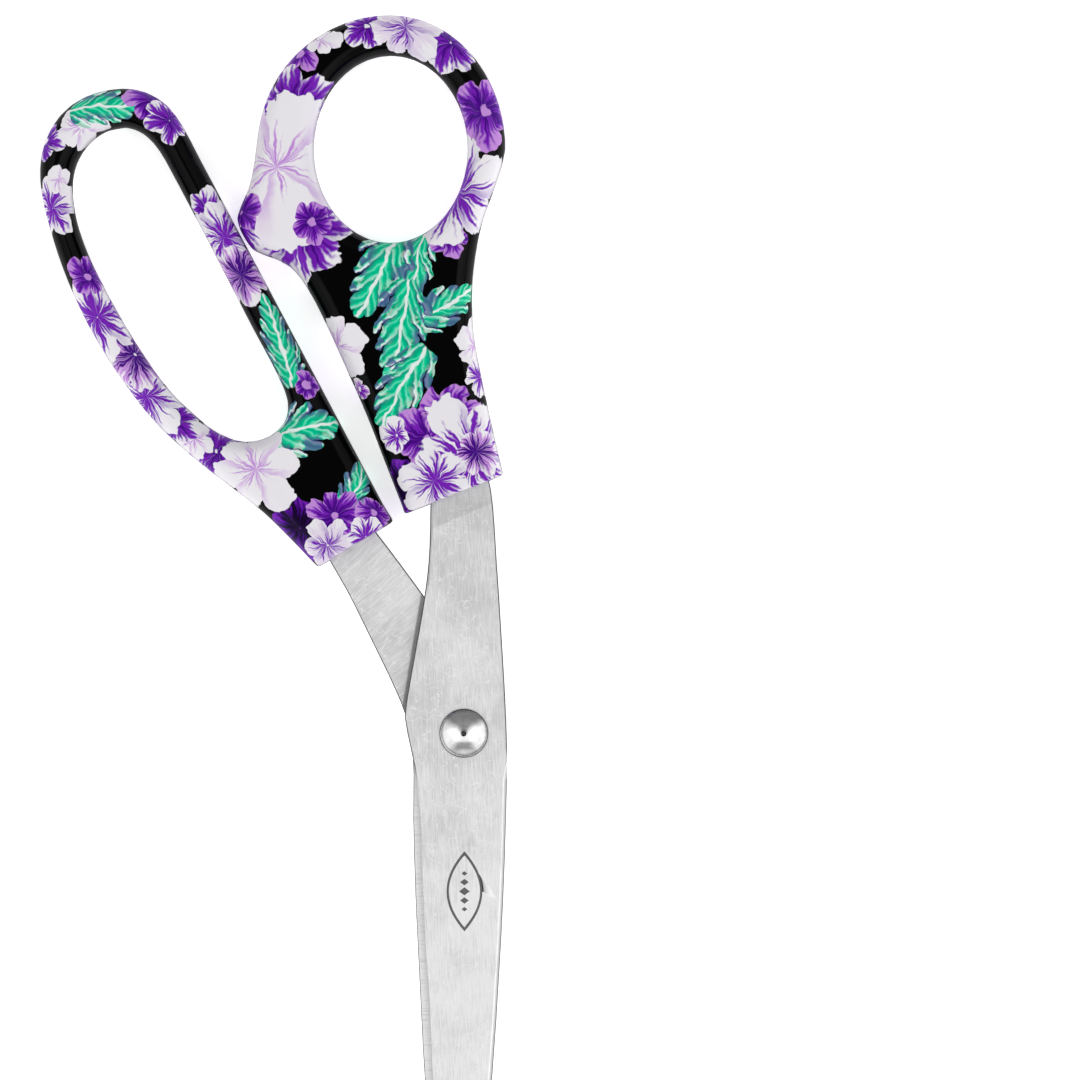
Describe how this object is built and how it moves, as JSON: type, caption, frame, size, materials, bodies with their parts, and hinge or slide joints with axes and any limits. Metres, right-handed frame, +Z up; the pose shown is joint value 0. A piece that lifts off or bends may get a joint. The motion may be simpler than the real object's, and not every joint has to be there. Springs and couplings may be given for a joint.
{
  "type": "fabric shears",
  "caption": "Bent-handle fabric shears with two riveted steel blades, a round thumb loop and a long finger loop in printed glossy plastic",
  "frame": {"origin": "On the pivot axis, at the centre of the flat back of the rivet, in the plane that the closed shears lie on", "axes": "+Z up out of the surface that the shears lie on, along the pivot axis; +Y from the pivot towards the handles, along the length; +X to the side of the thumb blade's cutting edge"},
  "size_m": [0.0866, 0.2524, 0.0094],
  "materials": {
    "blade_steel": "satin steel with fine grinding lines",
    "thumb_handle_plastic": "black plastic with a floral transfer print in white, purple and green under gloss lacquer",
    "finger_handle_plastic": "black plastic with a floral transfer print in white, purple and green under gloss lacquer",
    "rivet_steel": "polished",
    "spring_steel": "plain",
    "washer_brass": "plain"
  },
  "bodies": {
    "thumb_half": {"thumb_blade": "blade_steel", "thumb_handle": "thumb_handle_plastic", "pivot_rivet": "rivet_steel", "rivet_burr": "rivet_steel", "spring_washer": "spring_steel", "thrust_washer": "washer_brass"},
    "finger_half": {"finger_blade": "blade_steel", "finger_handle": "finger_handle_plastic"}
  },
  "joints": [
    {"name": "blade_pivot", "type": "hinge", "parent": "thumb_half", "child": "finger_half", "pos_m": [0, 0, 0.0046], "axis": [0, 0, 1], "range_deg": [0, 125]}
  ]
}
